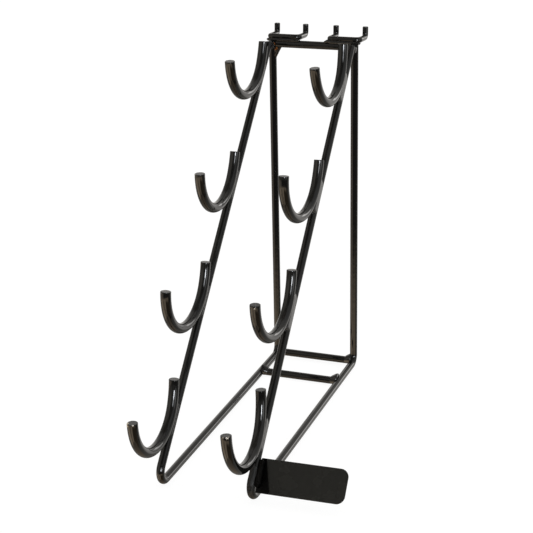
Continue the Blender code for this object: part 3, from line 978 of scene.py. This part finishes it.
# ---- studio --------------------------------------------------------------------------------
# What surrounds the rack, as the gloss paint shows it: soft-edged patches of light, each
# (azimuth, half width, elevation, half height, edge softness, colour, strength), in degrees.
# Azimuth 0 is straight out from the wall and 90 is to the right.
ROOM = (0.31, 0.30, 0.275, 1)      # where there is no patch
PATCHES = (
    (0, 180, 85, 30, 12, (1.08, 1.0, 0.88), 0.17),          # ceiling
    (22, 42, 46, 20, 8, (1.05, 1.0, 0.92), 0.12),           # dim far wall in front
    (-55, 36, 27, 30, 8, (1.07, 1.0, 0.90), 0.50),          # left wall
    (-38, 13, 20, 15, 5, (1.07, 1.0, 0.88), 0.78),          # lit part of the left wall
    (95, 36, 28, 30, 9, (1.0, 1.0, 0.98), 0.50),            # right wall
    (180, 55, 20, 50, 8, (1.03, 1.0, 0.95), 0.56),          # backdrop
    (-150, 16, 10, 18, 6, (1.03, 1.0, 0.95), 0.85),         # the backdrop's left part
    (172, 28, -13, 16, 6, (1.03, 1.0, 0.96), 0.85),         # the backdrop's foot
    (151, 13, 7, 7, 3, (1.02, 1.0, 0.97), 3.2),             # bright card on the backdrop
    (0, 100, -13, 8, 3, (1.08, 1.0, 0.90), 0.10),           # dark edge of the table
    (-62, 34, -18, 10, 4, (1.16, 1.0, 0.82), 0.80),         # far end of the table, lit
    (-5, 78, -42, 21, 3, (1.25, 1.0, 0.72), 1.45),          # lit wooden table
    (-26, 6, -44, 19, 3, (1.10, 1.0, 0.85), 0.25),          # gap between two boards
    (60, 42, -44, 19, 6, (1.35, 1.0, 0.62), 0.17),          # the table's shaded end
    (0, 180, -85, 22, 8, (1.25, 1.0, 0.75), 0.42),          # table right below
    (36, 7, 20, 5, 2, (0.96, 1.0, 1.05), 8.0),              # window, upper panes
    (36, 6, 8, 6, 1.5, (0.96, 1.0, 1.05), 32.0),            # window, lower panes
    (74, 14, 0, 7, 4, (1.0, 1.0, 1.0), 2.0),                # light beside the window
)
NEAR_ZERO = 0.0001


def scaled(colour, strength):
    return (*(c * strength for c in colour), 1)


def add_world():
    world = bpy.data.worlds.new("studio")
    world.use_nodes = True
    g = Graph(world.node_tree)
    direction = g.node("ShaderNodeTexCoord").outputs["Generated"]
    rise = g.split(direction)[2]
    flat = g.math("SQRT", g.math("SUBTRACT", 1.0, g.math("POWER", rise, 2.0)))
    elevation = g.math("DEGREES", g.math("ARCSINE", rise))
    colour = ROOM
    for azimuth, half_width, height, half_height, soft, tint, strength in PATCHES:
        a = math.radians(azimuth)
        towards = (math.sin(a), -math.cos(a), 0)
        dot = g.node("ShaderNodeVectorMath", {0: direction, 1: towards}, operation="DOT_PRODUCT")
        cosine = g.math("DIVIDE", dot.outputs["Value"], g.math("MAXIMUM", flat, NEAR_ZERO))
        aside = g.math("DEGREES", g.math("ARCCOSINE", cosine))
        above = g.math("ABSOLUTE", g.math("SUBTRACT", elevation, height))
        inside = g.math(
            "MULTIPLY",
            g.ramp(aside, half_width - soft, half_width + soft, 1.0, 0.0),
            g.ramp(above, half_height - soft, half_height + soft, 1.0, 0.0),
        )
        colour = g.mix(inside, colour, scaled(tint, strength))
    world.node_tree.links.new(colour, world.node_tree.nodes["Background"].inputs["Color"])
    bpy.context.scene.world = world


FLOOR_Z = cad_box[0].z - 0.0002
FLOOR_INNER_RADIUS = 1.0
FLOOR_RADIUS = 5.0
DOME_HEIGHT = 4.5
DOME_SIDES = 64
FLOOR_SHADE = (0.12, 0.12, 0.12, 1)
FLOOR_ROUGHNESS = 0.8
FLOOR_GLOW = 0.93
DOME_GLOW = 1.0
GLOW_RISE = (0.02, 0.5)            # heights above the floor where the floor's glow becomes the dome's
SUN_STRENGTH = 1.0
SUN_ANGLE = math.radians(80)


def stage_mesh():
    """Flat disc that curves up into a closed dome."""
    profile = [(FLOOR_INNER_RADIUS, 0.0), (FLOOR_RADIUS, 0.0)]
    profile += [(FLOOR_RADIUS * math.cos(a), DOME_HEIGHT * math.sin(a))
                for a in (math.radians(d) for d in range(10, 90, 10))]
    bm = bmesh.new()
    rings = []
    for radius, height in profile:
        z = FLOOR_Z + height
        rings.append([bm.verts.new((radius * math.cos(angle), radius * math.sin(angle), z))
                      for angle in angles_round(DOME_SIDES)])
    join_rings(bm, rings)
    bm.faces.new(rings[0])
    bm.faces.new(rings[-1])
    bmesh.ops.recalc_face_normals(bm, faces=bm.faces)
    bmesh.ops.reverse_faces(bm, faces=bm.faces)
    mesh = bpy.data.meshes.new("floor")
    bm.to_mesh(mesh)
    bm.free()
    return mesh


def stage_paint():
    mat = bpy.data.materials.new("white_floor")
    mat.use_nodes = True
    shader = mat.node_tree.nodes["Principled BSDF"]
    shader.inputs["Base Color"].default_value = FLOOR_SHADE
    shader.inputs["Roughness"].default_value = FLOOR_ROUGHNESS
    shader.inputs["Specular IOR Level"].default_value = 0.0
    shader.inputs["Emission Color"].default_value = (1, 1, 1, 1)
    g = Graph(mat.node_tree)
    low, high = (FLOOR_Z + rise for rise in GLOW_RISE)
    glow = g.ramp(g.split(g.here())[2], low, high, FLOOR_GLOW, DOME_GLOW)
    mat.node_tree.links.new(glow, shader.inputs["Emission Strength"])
    return mat


def add_stage():
    """White floor and dome. The rack's paint reflects the patches of the room instead."""
    mesh = stage_mesh()
    mesh.materials.append(stage_paint())
    floor = bpy.data.objects.new("floor", mesh)
    bpy.context.scene.collection.objects.link(floor)
    floor.visible_glossy = False
    floor.visible_diffuse = False
    floor.visible_shadow = False


def add_overhead_light():
    """Broad light that lays a faint soft shadow on the floor."""
    data = bpy.data.lights.new("overhead", "SUN")
    data.energy = SUN_STRENGTH
    data.angle = SUN_ANGLE
    light = bpy.data.objects.new("overhead", data)
    light.visible_glossy = False
    light.visible_camera = False
    bpy.context.scene.collection.objects.link(light)


add_rack()
add_camera()
add_world()
add_stage()
add_overhead_light()
